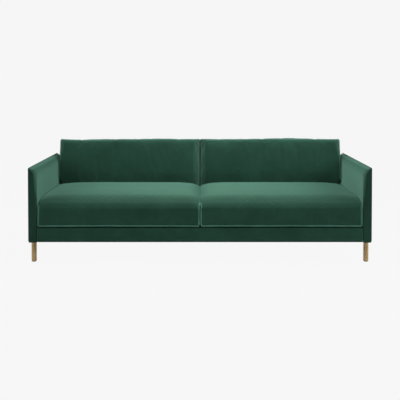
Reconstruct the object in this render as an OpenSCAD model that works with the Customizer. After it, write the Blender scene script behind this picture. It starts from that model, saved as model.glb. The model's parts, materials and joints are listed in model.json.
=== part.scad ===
// Sofa bed: the seat rolls out to the front on runners, and the back folds flat behind it.
// Millimetres. The floor is z = 0, the front faces -Y, and the origin is the middle of the footprint.

/* [Overall] */
// Width over both arms
sofa_w = 2200; // [1700:20:2600]
// Depth of the arms, front to rear
arm_d = 900; // [800:5:1000]
// Height of the arms above the floor
arm_h = 614; // [595:1:660]
// Thickness of each arm
arm_t = 54; // [52:1:70]
// Height of the arms' lower edge above the floor
arm_bottom_z = 133; // [129:1:138]
// Height of the flat lying surface above the floor, at the cushions' edges
lie_z = 411; // [405:1:430]

/* [Mechanism] */
// How far the seat rolls out
slide_travel = 300; // [280:5:300]
// Lean of the back from upright
recline = 10; // [9:0.5:11]
// Distance of the back's pivot from the back's lower edge
pivot_up = 85; // [83:1:87]
// Distance of the back's pivot behind the back's face
pivot_in = 85; // [83:1:87]
// Distance of the guide pin from the pivot
crank_r = 112; // [110:1:114]
// Direction of the guide pin at rest, from upright towards the rear
crank_angle = 100; // [98:1:102]
// Gap between the seat cushions and the back cushions at rest
back_gap = 6; // [5:0.5:9]

/* [Arms] */
// Thickness of the velvet covers with their lining
cover_t = 3; // [2:0.5:4]
// Rounding of the arms' inner top edge
arm_round = 33; // [25:1:36]
// How far the arms' inner face leans outwards below its rounding
arm_lean = 5; // [2:0.5:6]
// Height over which that face leans outwards
arm_lean_h = 170; // [120:5:200]
// Thickness of the timber in the arm frames
arm_timber_t = 20; // [18:1:24]
// Width of the timber in the arm frames
arm_timber_w = 45; // [40:1:60]
// Thickness of the hardboard on the arm frames
board_t = 3; // [2:0.5:4]
// Foam between the hardboard and the outer cover
arm_foam_t = 6; // [4:0.5:8]
// Foam over the ends of the arm frames
arm_foam_end = 12; // [8:1:20]
// Foam over the top of the arm frames
arm_foam_top = 38; // [34:1:50]

/* [Rails] */
// Height of the covered rails' lower edge above the floor
rail_z = 139; // [137:1:141]
// Height of the covered rails
rail_h = 94; // [92:1:96]
// Thickness of the rails' timber
rail_timber_t = 25; // [22:1:28]
// Gap at each end of the front rail
rail_gap = 2; // [1:0.5:4]

/* [Seat] */
// Gap between the seat cushions' ends and the arms
seat_end_gap = 10; // [8:1:14]
// Crown of the seat cushions
seat_crown = 18; // [8:1:20]
// Rounding of the seat cushions' front top edge
seat_round_front = 52; // [40:1:56]
// Rounding of the seat cushions' front lower edge
seat_round_front_low = 30; // [20:1:36]
// Rounding of the seat cushions' rear top edge
seat_round = 25; // [18:1:28]
// Rounding of the seat cushions' rear lower edge
seat_round_low = 12; // [8:1:14]
// Lean of the seat cushions' rear face
seat_rear_lean = 12; // [11:0.5:14]
// Gap between two neighbouring cushions
cushion_gap = 3; // [2:0.5:6]
// How far a sewn seam stands out
welt = 1.5; // [0.5:0.5:2.5]

/* [Back] */
// Depth kept for the leaning back behind the seat cushions
back_room = 260; // [256:1:280]
// Height of the back cushions along their face
back_len = 484; // [470:1:486]
// Thickness of the back cushions at their edges
back_cushion_t = 131.7; // [130:0.1:131.7]
// Depth of the back from its face to its rear cover
back_t = 184; // [182:1:185]
// Gap between the back cushions' ends and the arms, above the pivot brackets
back_end_gap = 10; // [8:1:14]
// How much shorter each cushion is beside its pivot bracket
back_end_step = 18; // [17:1:20]
// Crown of the back cushions' faces
back_crown = 18; // [8:1:20]
// Rounding of the back cushions' lower front edge
back_round_low = 50; // [48:1:56]
// Rounding of the back cushions' other edges
back_round = 22; // [16:1:26]

/* [Slats] */
// Number of slats
slat_count = 18; // [12:1:20]
// Width of a slat
slat_w = 63; // [50:1:64]
// Thickness of a slat
slat_t = 8; // [6:0.5:9]
// Rise of a slat's bow
slat_rise = 11; // [6:0.5:12]

/* [Legs] */
// Diameter of the oak legs
leg_d = 33; // [30:1:40]
// Distance of the front legs' axes behind the arms' front
leg_inset = 60; // [50:1:90]
// Distance of the fold-down legs' middles from the seat's side members
fold_leg_in = 240; // [100:10:500]
// Thickness of the fold-down legs
fold_leg_t = 28; // [24:1:28]

/* [Rollers] */
// Diameter of the rollers
roller_d = 32; // [31:0.5:32]
// Width of the rollers
roller_w = 12; // [10:0.5:12]
// Diameter of the rollers' axles
axle_d = 8; // [6:0.5:10]

/* [Hidden] */

// Finish of the drawing
$fn = 48;
velvet = [0.16, 0.33, 0.26];
velvet_dark = [0.12, 0.25, 0.20];
timber = [0.80, 0.66, 0.47];
oak = [0.76, 0.63, 0.44];
hardboard = [0.52, 0.38, 0.25];
foam = [0.93, 0.90, 0.76];
steel = [0.60, 0.61, 0.63];
black_steel = [0.16, 0.16, 0.17];
plastic = [0.12, 0.12, 0.12];
strap = [0.20, 0.20, 0.22];

// Clearances and overruns
cut_over = 5;
run_fit = 0.05;
soft_fit = 0.3;
slot_fit = 0.5;

// Arms
half_w = sofa_w / 2;
arm_in = half_w - arm_t;
front_y = -arm_d / 2;
rear_y = arm_d / 2;
seat_rear_y = rear_y - back_room;
arm_outer_round = 6;
arm_round_steps = 6;
leg_plate_t = 3;
frame_z0 = arm_bottom_z + leg_plate_t;
frame_z1 = arm_h - arm_foam_top;
frame_a0 = cover_t + arm_foam_t;
frame_end = cover_t + arm_foam_end;
frame_mid = frame_a0 + board_t + arm_timber_t / 2;
post_share = 0.5;

// Rails
rail_top = rail_z + rail_h;
rail_t = rail_timber_t + 2 * cover_t;
front_rail_y1 = front_y + rail_t;
rear_rail_y0 = rear_y - rail_t;
front_rail_half = arm_in - rail_gap;
bolt_d = 8;
bolt_len = 60;
bolt_shares = [0.3, 0.7];

// Stretcher
stretcher_h = 12;
stretcher_w = 40;
stretcher_wall = 2;
stretcher_ahead = 250;
stretcher_y = seat_rear_y - stretcher_ahead;
stretcher_gap = 2;
channel_up = 17;
channel_z0 = rail_z + channel_up;
stretcher_z1 = channel_z0 - stretcher_gap;

// Runners
channel_t = 2;
channel_web = 3;
channel_play = 2;
channel_depth = 17;
channel_over = 24;
channel_z1 = channel_z0 + 2 * channel_t + roller_d + channel_play;
roller_gap = 1;
roller_r = roller_d / 2;
roller_x0 = arm_in - channel_web - roller_gap - roller_w;
rear_roller_z = channel_z0 + channel_t + run_fit + roller_r;
side_over = 10;
side_y1 = seat_rear_y + side_over;
rear_roller_in = 30;
rear_roller_y = side_y1 - rear_roller_in;
slide_bar_t = 5;
slide_bar_play = 0.3;
slide_bar_z = channel_z1 + slide_bar_play;
front_roller_z = slide_bar_z - run_fit - roller_r;
front_roller_back = 21;
front_roller_y = front_rail_y1 + front_roller_back;
axle_head_d = 14;
axle_head_t = 2;
axle_flange_d = 20;

// Seat frame
side_gap = 4;
side_x1 = roller_x0 - side_gap;
side_t = 36;
side_x0 = side_x1 - side_t;
side_up = 21;
side_z0 = rail_z + side_up;
side_drop = 8;
side_z1 = rail_top - side_drop;
rear_timber_t = 30;
holder_floor = 3;
slat_rail_top = rail_top - slat_rise - slat_t - holder_floor;
holder_roof = 3;
holder_side = 4;
holder_len = 22;
holder_fit = 0.2;
batten_t = 30;
batten_h = 30;
batten_y1 = front_rail_y1 + batten_t;
rear_rail_set = 5;
seat_rear_rail_y1 = side_y1 - rear_rail_set;
beam_w = 40;
beam_h = 50;
beam_z1 = slat_rail_top;
slide_bar_w = 12;
slide_bar_over = 45;
slide_bar_len = slide_travel + slide_bar_over;
bracket_t = 4;
bracket_r = 17;
bracket_low = 4;
bracket_top_gap = 2;
bracket_foot = 120;
bracket_y0 = side_y1 - bracket_foot;

// Fold of the back
fold_angle = 90 - recline;
pivot_y = seat_rear_y + back_gap + pivot_up;
pivot_z = lie_z - pivot_in;
pin_r = 6;
slot_r = pin_r + slot_fit;
slot_steps = 24;
slot_end_steps = 8;
plate_margin = 11;
guide_t = 6;
guide_x0 = arm_in - guide_t;
crank_t = 4;
crank_gap = 2;
crank_x0 = side_x1 - crank_gap - crank_t;
back_half = crank_x0;
crank_edge = 13;
crank_grip = 24;
pivot_pin_r = 5;
pivot_head_r = 9;
pivot_head_t = 3;
pin_tip_gap = 0.5;
function pivot_at(share) = [pivot_y - slide_travel * share, pivot_z];
function polar(r, angle) = [r * sin(angle), r * cos(angle)];
function pin_at(share) = pivot_at(share) + polar(crank_r, crank_angle + fold_angle * share);
function pin_way(share) = slot_unit(pin_at(share + way_share) - pin_at(share - way_share));
function slot_unit(v) = v / norm(v);
function pin_side(share, away) = pin_at(share) + away * [-pin_way(share)[1], pin_way(share)[0]];
way_share = 0.001;

// Back
back_low = 8;
back_top_drop = 34;
back_frame_y0 = back_cushion_t + soft_fit;
web_t = 2;
back_timber_y0 = back_frame_y0 + web_t;
back_timber_y1 = back_t - cover_t;
back_timber_w = 45;
back_z1 = back_len - back_top_drop;
upright_shares = [-1, -0.34, 0.34, 1];
web_count = 12;
web_w = 60;
back_step_over = 60;
back_step_at = pivot_up + bracket_r + back_step_over;
back_step_h = 30;
back_dip = 4;
back_ear = 3;

// Legs
leg_glide_t = 3;
leg_glide_d = 28;
leg_round = 4;
leg_bolt_len = 70;
leg_bolt_in_arm = 32;
leg_x = half_w - frame_mid;
leg_plate_l = 90;
leg_plate_w = arm_timber_t + 2 * board_t;
fold_leg_axis = 17;
fold_pivot_y = front_rail_y1 + fold_leg_axis;
fold_leg_x = side_x0 - fold_leg_in;
fold_pivot_up = 21;
fold_pivot_z = rail_z + fold_pivot_up;
fold_foot_gap = 1;
fold_pin_r = 4;
fold_plate_t = 2;
fold_plate_gap = 1;
batten_z0 = slat_rail_top - batten_h;
leg_bracket_w = 30;

// Bowed slats
slat_y0 = front_rail_y1 + holder_floor;
slat_y1 = seat_rear_rail_y1 - holder_floor;
slat_z = slat_rail_top + holder_floor;
slat_chord = slat_y1 - slat_y0;
slat_bow_r = slat_chord * slat_chord / (8 * slat_rise) + slat_rise / 2;
slat_bow_steps = 12;
slat_margin = 15;
slat_pitch = (2 * side_x0 - slat_w - 2 * slat_margin) / (slat_count - 1);

// Soft forms
seam_steps = 4;
seat_steps = [9, 3];
back_steps = [3, 9];
end_round = 14;
end_step_shares = [0, 0.12, 0.5, 1];
mid_step_shares = [0.04, 0.1, 0.2, 0.34, 0.5, 0.66, 0.8, 0.9, 0.96];
seat_bulge = 4;
least_round = 2;

// Profile of an arm, seen from the front, from its outer face inwards, drawn in by an inset
function arm_profile(inset) = let (
        x0 = inset,
        x1 = arm_t - inset,
        x2 = arm_t - arm_lean - inset,
        z1 = arm_h - inset,
        r = arm_round - inset,
        ro = max(arm_outer_round - inset, least_round))
    concat(
        [[x0, arm_bottom_z], [x1, arm_bottom_z], [x1, arm_h - arm_round - arm_lean_h]],
        [for (k = [0 : arm_round_steps]) let (a = 90 * k / arm_round_steps)
            [x2 - r + r * cos(a), z1 - r + r * sin(a)]],
        [for (k = [0 : arm_round_steps]) let (a = 90 + 90 * k / arm_round_steps)
            [x0 + ro + ro * cos(a), z1 - ro + ro * sin(a)]]);

// Places a child drawn for the right-hand arm, with x from the arm's outer face inwards
module at_arm(side) {
    if (side > 0) translate([half_w, 0, 0]) mirror([1, 0, 0]) children();
    else translate([-half_w, 0, 0]) children();
}

// Places a child drawn for the right-hand side, mirrored to the left where side is negative
module at_side(side) {
    if (side > 0) children();
    else mirror([1, 0, 0]) children();
}

module arm_bar(inset, ends) {
    translate([0, rear_y - ends, 0]) rotate([90, 0, 0])
        linear_extrude(arm_d - 2 * ends) polygon(arm_profile(inset));
}

module arm_core(a0, a1) {
    translate([a0, front_y + frame_end, frame_z0])
        cube([a1 - a0, arm_d - 2 * frame_end, frame_z1 - frame_z0]);
}

module arm_cover(side) {
    color(velvet) at_arm(side) difference() {
        arm_bar(0, 0);
        arm_bar(cover_t, cover_t);
        translate([cover_t, front_y + cover_t, arm_bottom_z - cut_over])
            cube([arm_t - 2 * cover_t, arm_d - 2 * cover_t, 2 * cut_over]);
    }
}

module arm_padding(side) {
    color(foam) at_arm(side) difference() {
        arm_bar(cover_t, cover_t);
        arm_core(frame_a0, frame_a0 + arm_timber_t + 2 * board_t);
        translate([frame_a0, front_y + frame_end, arm_bottom_z - cut_over])
            cube([arm_timber_t + 2 * board_t, arm_d - 2 * frame_end, frame_z0 - arm_bottom_z + 2 * cut_over]);
    }
}

module arm_boards(side) {
    color(hardboard) at_arm(side) {
        arm_core(frame_a0, frame_a0 + board_t);
        arm_core(frame_a0 + board_t + arm_timber_t, frame_a0 + 2 * board_t + arm_timber_t);
    }
}

// Timber frame of an arm: two rails between three posts
module arm_frame(side) {
    a = frame_a0 + board_t;
    len = arm_d - 2 * frame_end;
    post_h = frame_z1 - frame_z0 - 2 * arm_timber_w;
    color(timber) at_arm(side) difference() {
        union() {
            for (z = [frame_z0, frame_z1 - arm_timber_w])
                translate([a, front_y + frame_end, z]) cube([arm_timber_t, len, arm_timber_w]);
            for (share = [0, post_share, 1])
                translate([a, front_y + frame_end + (len - arm_timber_w) * share, frame_z0 + arm_timber_w])
                    cube([arm_timber_t, arm_timber_w, post_h]);
        }
        for (y = [front_y + leg_inset, rear_y - leg_inset])
            translate([frame_mid, y, frame_z0 - cut_over])
                cylinder(d = bolt_d, h = leg_bolt_in_arm - leg_plate_t + cut_over);
    }
}

module rail_box(half, y0, inset) {
    translate([-half, y0 + inset, rail_z + inset])
        cube([2 * half, rail_t - 2 * inset, rail_h - 2 * inset]);
}

module rail_sleeve(half, y0) {
    difference() {
        rail_box(half, y0, 0);
        translate([-half - cut_over, y0 + cover_t, rail_z + cover_t])
            cube([2 * (half + cut_over), rail_t - 2 * cover_t, rail_h - 2 * cover_t]);
    }
}

module rear_rail() {
    color(timber) difference() {
        rail_box(arm_in, rear_rail_y0, cover_t);
        for (side = [-1, 1], share = bolt_shares)
            translate([side * (arm_in + cut_over), rear_rail_y0 + rail_t / 2, rail_z + rail_h * share])
                rotate([0, -90 * side, 0]) cylinder(d = bolt_d, h = bolt_len + cut_over);
    }
}

module rear_rail_cover() {
    color(velvet) rail_sleeve(arm_in, rear_rail_y0);
}

// Dowel bolts that hold the rear rail between the arms
module rail_bolts() {
    color(steel) for (side = [-1, 1], share = bolt_shares)
        translate([side * arm_in, rear_rail_y0 + rail_t / 2, rail_z + rail_h * share])
            rotate([0, -90 * side, 0]) cylinder(d = bolt_d - 2 * run_fit, h = bolt_len);
}

module base_stretcher() {
    color(black_steel) translate([-arm_in, stretcher_y - stretcher_w / 2, stretcher_z1 - stretcher_h])
        difference() {
            cube([2 * arm_in, stretcher_w, stretcher_h]);
            translate([-cut_over, stretcher_wall, stretcher_wall])
                cube([2 * (arm_in + cut_over), stretcher_w - 2 * stretcher_wall,
                    stretcher_h - 2 * stretcher_wall]);
        }
}

// Channel on an arm in which the seat's rear roller runs
module runner_channel(side) {
    y0 = rear_roller_y - slide_travel - channel_over;
    len = slide_travel + 2 * channel_over;
    color(steel) at_side(side) translate([arm_in - channel_depth, y0, channel_z0]) difference() {
        cube([channel_depth, len, channel_z1 - channel_z0]);
        translate([-cut_over, -cut_over, channel_t])
            cube([channel_depth - channel_web + cut_over, len + 2 * cut_over,
                channel_z1 - channel_z0 - 2 * channel_t]);
    }
}

// Slot in which the guide pin travels, as an outline beside the pin's path
function slot_outline(away) = concat(
    [for (k = [0 : slot_steps]) pin_side(k / slot_steps, away)],
    [for (k = [1 : slot_end_steps - 1]) let (a = 180 * k / slot_end_steps)
        pin_at(1) + away * (cos(a) * [-pin_way(1)[1], pin_way(1)[0]] + sin(a) * pin_way(1))],
    [for (k = [slot_steps : -1 : 0]) pin_side(k / slot_steps, -away)],
    [for (k = [1 : slot_end_steps - 1]) let (a = 180 * k / slot_end_steps)
        pin_at(0) - away * (cos(a) * [-pin_way(0)[1], pin_way(0)[0]] + sin(a) * pin_way(0))]);

module guide_plate(side) {
    away = slot_r + plate_margin;
    foot_z = pin_at(1)[1] - away;
    y0 = pin_at(1)[0] - away;
    y1 = pin_at(0)[0] + away;
    outline = concat([[y0, foot_z], [y1, foot_z], [y1, pin_at(0)[1] + away]],
        [for (k = [0 : slot_steps]) pin_side(k / slot_steps, -away)],
        [[y0, pin_at(1)[1] + away]]);
    color(steel) at_side(side) translate([guide_x0, 0, 0]) rotate([90, 0, 90])
        linear_extrude(guide_t) difference() {
            polygon(outline);
            polygon(slot_outline(slot_r));
        }
}

module roller_axle(x0, y, z) {
    translate([x0, y, z]) rotate([0, 90, 0]) cylinder(d = axle_d, h = arm_in - x0);
}

// Axles of the front rollers, with a flange on the arm and a head inside
module front_roller_axles() {
    color(steel) for (side = [-1, 1]) at_side(side) {
        roller_axle(roller_x0 - axle_head_t - run_fit, front_roller_y, front_roller_z);
        translate([arm_in - channel_web, front_roller_y, front_roller_z])
            rotate([0, 90, 0]) cylinder(d = axle_flange_d, h = channel_web);
        translate([roller_x0 - axle_head_t - run_fit, front_roller_y, front_roller_z])
            rotate([0, 90, 0]) cylinder(d = axle_head_d, h = axle_head_t);
    }
}

module roller(side, y, z) {
    color(plastic) at_side(side) translate([roller_x0, y, z]) rotate([0, 90, 0]) difference() {
        cylinder(d = roller_d, h = roller_w);
        translate([0, 0, -cut_over]) cylinder(d = axle_d + 2 * run_fit, h = roller_w + 2 * cut_over);
    }
}

module leg(side, y) {
    color(oak) translate([side * leg_x, y, 0]) difference() {
        rotate_extrude() polygon(concat([[0, leg_glide_t]],
            [for (k = [0 : seam_steps]) let (a = 90 * k / seam_steps)
                [leg_d / 2 - leg_round + leg_round * sin(a), leg_glide_t + leg_round - leg_round * cos(a)]],
            [[leg_d / 2, arm_bottom_z], [0, arm_bottom_z]]));
        translate([0, 0, arm_bottom_z + leg_bolt_in_arm - leg_bolt_len - run_fit])
            cylinder(d = bolt_d + 2 * run_fit, h = leg_bolt_len);
    }
}

module each_leg() {
    for (side = [-1, 1], y = [front_y + leg_inset, rear_y - leg_inset])
        translate([side * leg_x, y, 0]) children();
}

module leg_plates() {
    color(steel) each_leg() translate([-leg_plate_w / 2, -leg_plate_l / 2, arm_bottom_z]) difference() {
        cube([leg_plate_w, leg_plate_l, leg_plate_t]);
        translate([leg_plate_w / 2, leg_plate_l / 2, -cut_over])
            cylinder(d = bolt_d + 2 * run_fit, h = leg_plate_t + 2 * cut_over);
    }
}

module leg_bolts() {
    color(steel) each_leg() translate([0, 0, arm_bottom_z + leg_bolt_in_arm - leg_bolt_len])
        cylinder(d = bolt_d - 2 * run_fit, h = leg_bolt_len - run_fit);
}

module leg_glides() {
    color(plastic) each_leg() cylinder(d = leg_glide_d, h = leg_glide_t);
}

module front_rail() {
    color(timber) rail_box(front_rail_half, front_y, cover_t);
}

module front_rail_cover() {
    color(velvet_dark) rail_sleeve(front_rail_half, front_y);
}

// Batten behind the front rail that carries the slats and the fold-down legs
module front_batten() {
    color(timber) translate([-side_x0, front_rail_y1, batten_z0]) cube([2 * side_x0, batten_t, batten_h]);
}

module seat_side(side) {
    color(timber) at_side(side) difference() {
        translate([side_x0, front_rail_y1, side_z0])
            cube([side_t, side_y1 - front_rail_y1, side_z1 - side_z0]);
        translate([side_x1 - side_t / 2, rear_roller_y, rear_roller_z])
            rotate([0, 90, 0]) cylinder(d = axle_d + 2 * run_fit, h = side_t);
    }
}

module seat_rear_rail() {
    color(timber) translate([-side_x0, seat_rear_rail_y1 - rear_timber_t, side_z0])
        cube([2 * side_x0, rear_timber_t, slat_rail_top - side_z0]);
}

module seat_centre_beam() {
    y0 = batten_y1;
    color(timber) translate([-beam_w / 2, y0, beam_z1 - beam_h])
        cube([beam_w, seat_rear_rail_y1 - rear_timber_t - y0, beam_h]);
}

// Rise of a slat's underside along its bow, and where each slat starts
function slat_lift(share) =
    sqrt(pow(slat_bow_r, 2) - pow(slat_chord * (share - 0.5), 2)) - slat_bow_r + slat_rise;
function slat_x(k) = -side_x0 + slat_margin + slat_pitch * k;

module slat_shape(grow) {
    outline = concat(
        [for (k = [0 : slat_bow_steps]) let (share = k / slat_bow_steps)
            [slat_y0 + slat_chord * share, slat_z + slat_lift(share) - grow]],
        [for (k = [slat_bow_steps : -1 : 0]) let (share = k / slat_bow_steps)
            [slat_y0 + slat_chord * share, slat_z + slat_t + slat_lift(share) + grow]]);
    translate([-grow, 0, 0]) rotate([90, 0, 90]) linear_extrude(slat_w + 2 * grow) polygon(outline);
}

module seat_slats() {
    color(oak) for (k = [0 : slat_count - 1]) translate([slat_x(k), 0, 0]) slat_shape(0);
}

// Caps that hold the slats' ends on the batten and on the rear rail
module slat_holders() {
    h = slat_t + holder_floor + holder_roof;
    color(plastic) for (k = [0 : slat_count - 1], y = [front_rail_y1, seat_rear_rail_y1 - holder_len])
        difference() {
            translate([slat_x(k) - holder_side, y, slat_rail_top])
                cube([slat_w + 2 * holder_side, holder_len, h]);
            translate([slat_x(k), 0, 0]) slat_shape(holder_fit);
        }
}

// Bars on the seat's sides that ride on the front rollers
module slide_bars() {
    color(steel) for (side = [-1, 1]) at_side(side)
        translate([side_x1, front_rail_y1, slide_bar_z]) cube([slide_bar_w, slide_bar_len, slide_bar_t]);
}

// Bracket that rises behind the seat cushions to the back's pivot
module pivot_bracket(side) {
    z0 = slide_bar_z + slide_bar_t + bracket_low;
    z1 = rail_top - bracket_top_gap;
    color(black_steel) at_side(side) translate([side_x1, 0, 0]) rotate([90, 0, 90]) difference() {
        union() {
            linear_extrude(bracket_t) polygon([[bracket_y0, z0], [side_y1, z0],
                [pivot_y + bracket_r * sin(45), pivot_z - bracket_r * sin(45)],
                [pivot_y - bracket_r * sin(45), pivot_z + bracket_r * sin(45)],
                [seat_rear_y - bracket_t, z1], [bracket_y0, z1]]);
            translate([pivot_y, pivot_z, 0]) cylinder(r = bracket_r, h = bracket_t);
        }
        translate([pivot_y, pivot_z, -cut_over])
            cylinder(r = pivot_pin_r + run_fit, h = bracket_t + 2 * cut_over);
    }
}

module pivot_pins() {
    color(steel) for (side = [-1, 1]) at_side(side) translate([crank_x0 + run_fit, pivot_y, pivot_z])
        rotate([0, 90, 0]) {
            cylinder(r = pivot_pin_r, h = side_x1 + bracket_t - crank_x0 - run_fit);
            translate([0, 0, side_x1 + bracket_t - crank_x0 - run_fit])
                cylinder(r = pivot_head_r, h = pivot_head_t);
        }
}

// Axles of the rollers at the rear of the seat
module rear_roller_axles() {
    x0 = side_x1 - side_t / 2;
    x1 = roller_x0 + roller_w + run_fit;
    color(steel) for (side = [-1, 1]) at_side(side) translate([x0, rear_roller_y, rear_roller_z])
        rotate([0, 90, 0]) cylinder(d = axle_d, h = x1 - x0);
}

// Brackets under the batten that carry the fold-down legs
module leg_brackets() {
    in_x = fold_leg_t / 2 + fold_plate_gap;
    out_x = in_x + fold_plate_t;
    color(black_steel) for (side = [-1, 1]) translate([side * fold_leg_x, 0, 0]) difference() {
        translate([-out_x, front_rail_y1, fold_pivot_z - leg_bracket_w / 2])
            cube([2 * out_x, leg_bracket_w, batten_z0 - fold_pivot_z + leg_bracket_w / 2]);
        translate([-in_x, front_rail_y1 - cut_over, fold_pivot_z - leg_bracket_w / 2 - cut_over])
            cube([2 * in_x, leg_bracket_w + 2 * cut_over,
                batten_z0 - fold_plate_t - fold_pivot_z + leg_bracket_w / 2 + cut_over]);
        translate([-out_x - cut_over, fold_pivot_y, fold_pivot_z])
            rotate([0, 90, 0]) cylinder(r = fold_pin_r + run_fit, h = 2 * (out_x + cut_over));
    }
}

module leg_pins() {
    out_x = fold_leg_t / 2 + fold_plate_gap + fold_plate_t;
    color(steel) for (side = [-1, 1]) translate([side * fold_leg_x, fold_pivot_y, fold_pivot_z])
        rotate([0, 90, 0]) {
            translate([0, 0, -out_x]) cylinder(r = fold_pin_r, h = 2 * out_x);
            translate([0, 0, -out_x - fold_plate_t]) cylinder(r = 2 * fold_pin_r, h = fold_plate_t);
            translate([0, 0, out_x]) cylinder(r = 2 * fold_pin_r, h = fold_plate_t);
        }
}

// Leg folded up under the seat, pointing to the rear
module fold_leg(side) {
    reach = fold_pivot_z - fold_foot_gap;
    color(timber) translate([side * fold_leg_x, fold_pivot_y, fold_pivot_z]) difference() {
        union() {
            translate([-fold_leg_t / 2, 0, -fold_leg_t / 2]) cube([fold_leg_t, reach, fold_leg_t]);
            translate([-fold_leg_t / 2, 0, 0]) rotate([0, 90, 0]) cylinder(d = fold_leg_t, h = fold_leg_t);
        }
        translate([-fold_leg_t / 2 - cut_over, 0, 0])
            rotate([0, 90, 0]) cylinder(r = fold_pin_r + run_fit, h = fold_leg_t + 2 * cut_over);
    }
}

// Cross-section of a cushion round its middle: sizes, four corner radii, an inset, steps each way
function corner(y, z, r, start) = [for (k = [0 : seam_steps]) let (a = start + 90 * k / seam_steps,
        out = r + (k == seam_steps / 2 ? welt : 0)) [y + out * cos(a), z + out * sin(a)]];
function between(p, q, steps) = [for (k = [1 : steps - 1]) p + (q - p) * k / steps];
function section(w, h, radii, inset, steps) = let (
        hw = w / 2 - inset,
        hh = h / 2 - inset,
        r = [for (radius = radii) max(radius - inset, least_round)],
        c = [corner(hw - r[0], -hh + r[0], r[0], -90), corner(hw - r[1], hh - r[1], r[1], 0),
            corner(-hw + r[2], hh - r[2], r[2], 90), corner(-hw + r[3], -hh + r[3], r[3], 180)],
        e = seam_steps)
    concat(c[0], between(c[0][e], c[1][0], steps[1]), c[1], between(c[1][e], c[2][0], steps[0]),
        c[2], between(c[2][e], c[3][0], steps[1]), c[3], between(c[3][e], c[0][0], steps[0]));

// Places along a cushion's length, each with how far the section is drawn in there
function stations(len) = concat(
    [for (share = end_step_shares) [end_round * share, end_round - end_round * sqrt(share * (2 - share))]],
    [for (share = mid_step_shares) [end_round + (len - 2 * end_round) * share, 0]],
    [for (k = [len_last(end_step_shares) : -1 : 0]) let (share = end_step_shares[k])
        [len - end_round * share, end_round - end_round * sqrt(share * (2 - share))]]);
function len_last(list) = len(list) - 1;

// Closed skin over a row of rings, with a fan of faces from a hub over each end
module ring_solid(rings, hubs) {
    n = len(rings);
    m = len(rings[0]);
    points = [for (ring = rings, p = ring) p];
    sides = [for (i = [0 : n - 2], j = [0 : m - 1]) let (k = (j + 1) % m)
        each [[i * m + k, i * m + j, (i + 1) * m + j], [(i + 1) * m + k, i * m + k, (i + 1) * m + j]]];
    fans = [for (j = [0 : m - 1]) let (k = (j + 1) % m)
        each [[n * m, j, k], [n * m + 1, (n - 1) * m + k, (n - 1) * m + j]]];
    polyhedron(points = concat(points, hubs), faces = concat(sides, fans));
}
function bow(t) = 1 - pow(t, 2);
function plateau(t) = 1 - pow(t, 4);
function ease(t) = let (c = min(max(t, 0), 1)) c * c * (3 - 2 * c);

// Seat cushion: crowned top, fuller front, rear face leaning away from the back
seat_cushion_z0 = rail_top + soft_fit;
seat_cushion_h = lie_z - seat_cushion_z0;
seat_cushion_y0 = front_y + seat_bulge;
seat_cushion_d = seat_rear_y - seat_cushion_y0;
seat_cushion_len = arm_in - seat_end_gap - cushion_gap / 2;

function seat_soft(x, y, z) = let (
        tx = 2 * x / seat_cushion_len - 1,
        ty = 2 * y / seat_cushion_d,
        tz = 2 * z / seat_cushion_h,
        rise = seat_crown * max(tz, 0) * plateau(tx) * plateau(ty),
        front = seat_bulge * bow(tx) * bow(tz) * max(-ty, 0),
        rear = (seat_cushion_h / 2 - z) * tan(seat_rear_lean) * max(ty, 0))
    [x, y - front - rear, z + rise];

module seat_cushion(side) {
    radii = [seat_round_low, seat_round, seat_round_front, seat_round_front_low];
    rings = [for (s = stations(seat_cushion_len))
        [for (p = section(seat_cushion_d, seat_cushion_h, radii, s[1], seat_steps))
            seat_soft(s[0], p[0], p[1])]];
    hubs = [for (x = [0, seat_cushion_len]) seat_soft(x, 0, 0)];
    color(velvet) at_side(side) translate([cushion_gap / 2, seat_cushion_y0 + seat_cushion_d / 2,
        seat_cushion_z0 + seat_cushion_h / 2]) ring_solid(rings, hubs);
}

// Places a child of the back, drawn upright with its face at y = 0 and its lower edge at z = 0
module in_back() {
    translate([0, pivot_y, pivot_z]) rotate([-recline, 0, 0]) translate([0, -pivot_in, -pivot_up]) children();
}

// Back cushion: crowned face, waved top edge with ears, its outer end set in beside the pivot bracket
back_cushion_len = arm_in - back_end_gap - cushion_gap / 2;

function back_soft(x, y, z) = let (
        tx = 2 * x / back_cushion_len - 1,
        ty = 2 * y / back_cushion_t,
        tz = 2 * z / back_len,
        low = 1 - ease((z + back_len / 2 - back_step_at) / back_step_h),
        rise = back_crown * max(-ty, 0) * bow(tx) * bow(tz),
        top = (back_ear * abs(tx) - back_dip * bow(tx)) * max(tz, 0),
        step = back_end_step * low * ease(2 * x / back_cushion_len - 1))
    [x - step, y - rise, z + top];

module back_cushion(side) {
    radii = [back_round, back_round, back_round, back_round_low];
    rings = [for (s = stations(back_cushion_len))
        [for (p = section(back_cushion_t, back_len, radii, s[1], back_steps))
            back_soft(s[0], p[0], p[1])]];
    hubs = [for (x = [0, back_cushion_len]) back_soft(x, 0, pivot_up - back_len / 2)];
    color(velvet) at_side(side) in_back()
        translate([cushion_gap / 2, back_cushion_t / 2, back_len / 2]) ring_solid(rings, hubs);
}

module back_rail(z0) {
    half = back_half - cover_t;
    translate([-half, back_timber_y0, z0]) cube([2 * half, back_timber_y1 - back_timber_y0, back_timber_w]);
}

module back_top_rail() {
    color(timber) in_back() back_rail(back_z1 - cover_t - back_timber_w);
}

module back_bottom_rail() {
    color(timber) in_back() back_rail(back_low + cover_t);
}

module back_uprights() {
    reach = back_half - cover_t - back_timber_w / 2;
    z0 = back_low + cover_t + back_timber_w;
    color(timber) in_back() for (share = upright_shares)
        translate([reach * share - back_timber_w / 2, back_timber_y0, z0])
            cube([back_timber_w, back_timber_y1 - back_timber_y0, back_z1 - cover_t - back_timber_w - z0]);
}

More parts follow.
